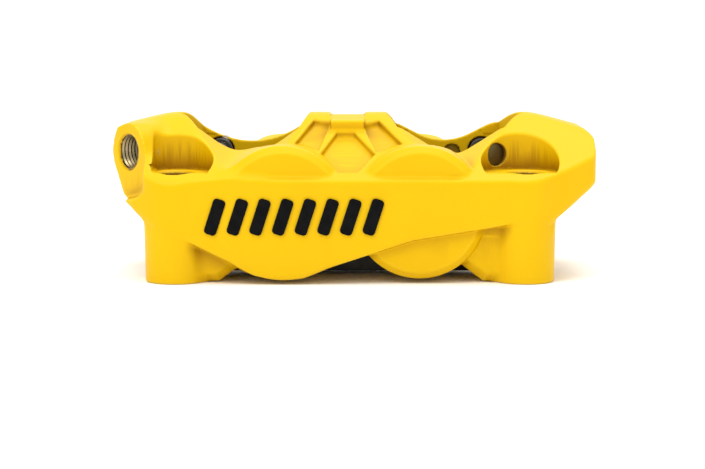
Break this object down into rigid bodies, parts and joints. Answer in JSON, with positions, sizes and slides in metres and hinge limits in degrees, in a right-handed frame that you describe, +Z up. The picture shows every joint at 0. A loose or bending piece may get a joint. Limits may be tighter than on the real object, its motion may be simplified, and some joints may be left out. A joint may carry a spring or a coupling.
{
  "type": "brake caliper",
  "caption": "Radial-mount one-piece disc brake caliper with opposed pistons, two pads on pins, a top bridge with windows, a banjo port and a bleed screw.",
  "frame": {"origin": "midpoint between the two mounting bolt axes, on the plane of the legs' feet", "axes": "+X from the banjo port's end to the plain end, +Y from the mounting legs to the rear half (the wheel disc's axis), +Z up along the mounting bolts to their heads"},
  "size_m": [0.141, 0.081, 0.0476],
  "materials": {
    "yellow_paint": "satin yellow paint on machined aluminium",
    "piston_metal": "hard anodised, turned",
    "seal_rubber": "matte black rubber",
    "wiper_rubber": "matte dark grey rubber",
    "backing_steel": "black powder coat with worn edges",
    "friction_block": "sintered friction material, coarse and dull",
    "pin_steel": "ground stainless steel",
    "spring_steel": "rolled stainless spring steel",
    "bleed_steel": "zinc plated steel",
    "plug_brass": "dull oxidised brass",
    "cap_rubber": "black moulded rubber"
  },
  "bodies": {
    "caliper": {"caliper_body": "yellow_paint", "pressure_seal_front_left": "seal_rubber", "pressure_seal_front_right": "seal_rubber", "pressure_seal_rear_left": "seal_rubber", "pressure_seal_rear_right": "seal_rubber", "dust_seal_front_left": "wiper_rubber", "dust_seal_front_right": "wiper_rubber", "dust_seal_rear_left": "wiper_rubber", "dust_seal_rear_right": "wiper_rubber", "pad_pin_left": "pin_steel", "pad_pin_right": "pin_steel", "pin_clips": "spring_steel", "pad_spring": "spring_steel", "gallery_plugs": "plug_brass"},
    "front_pad": {"backing_plate_front": "backing_steel", "friction_pad_front": "friction_block"},
    "rear_pad": {"backing_plate_rear": "backing_steel", "friction_pad_rear": "friction_block"},
    "front_left_piston": {"piston_front_left": "piston_metal"},
    "front_right_piston": {"piston_front_right": "piston_metal"},
    "rear_left_piston": {"piston_rear_left": "piston_metal"},
    "rear_right_piston": {"piston_rear_right": "piston_metal"},
    "bleeder": {"bleed_screw": "bleed_steel"},
    "bleeder_cap": {"bleed_cap": "cap_rubber"}
  },
  "joints": [
    {"name": "front_pad_slide", "type": "slide", "parent": "caliper", "child": "front_pad", "axis": [0, 1, 0], "range_m": [0, 0.0026]},
    {"name": "rear_pad_slide", "type": "slide", "parent": "caliper", "child": "rear_pad", "axis": [0, -1, 0], "range_m": [0, 0.0026]},
    {"name": "front_left_piston_slide", "type": "slide", "parent": "caliper", "child": "front_left_piston", "axis": [0, 1, 0], "range_m": [0, 0.0026]},
    {"name": "front_right_piston_slide", "type": "slide", "parent": "caliper", "child": "front_right_piston", "axis": [0, 1, 0], "range_m": [0, 0.0026]},
    {"name": "rear_left_piston_slide", "type": "slide", "parent": "caliper", "child": "rear_left_piston", "axis": [0, -1, 0], "range_m": [0, 0.0026]},
    {"name": "rear_right_piston_slide", "type": "slide", "parent": "caliper", "child": "rear_right_piston", "axis": [0, -1, 0], "range_m": [0, 0.0026]},
    {"name": "bleed_screw_turn", "type": "hinge", "parent": "caliper", "child": "bleeder", "pos_m": [0.057, 0.0535, 0.033], "axis": [0, 1, 0], "range_deg": [0, 270]},
    {"name": "bleed_cap_pull", "type": "slide", "parent": "bleeder", "child": "bleeder_cap", "axis": [0, 1, 0], "range_m": [0, 0.015]}
  ],
  "couplings": [
    {"joint": "rear_pad_slide", "follows": "front_pad_slide", "ratio": 1},
    {"joint": "front_left_piston_slide", "follows": "front_pad_slide", "ratio": 1},
    {"joint": "front_right_piston_slide", "follows": "front_pad_slide", "ratio": 1},
    {"joint": "rear_left_piston_slide", "follows": "front_pad_slide", "ratio": 1},
    {"joint": "rear_right_piston_slide", "follows": "front_pad_slide", "ratio": 1}
  ]
}
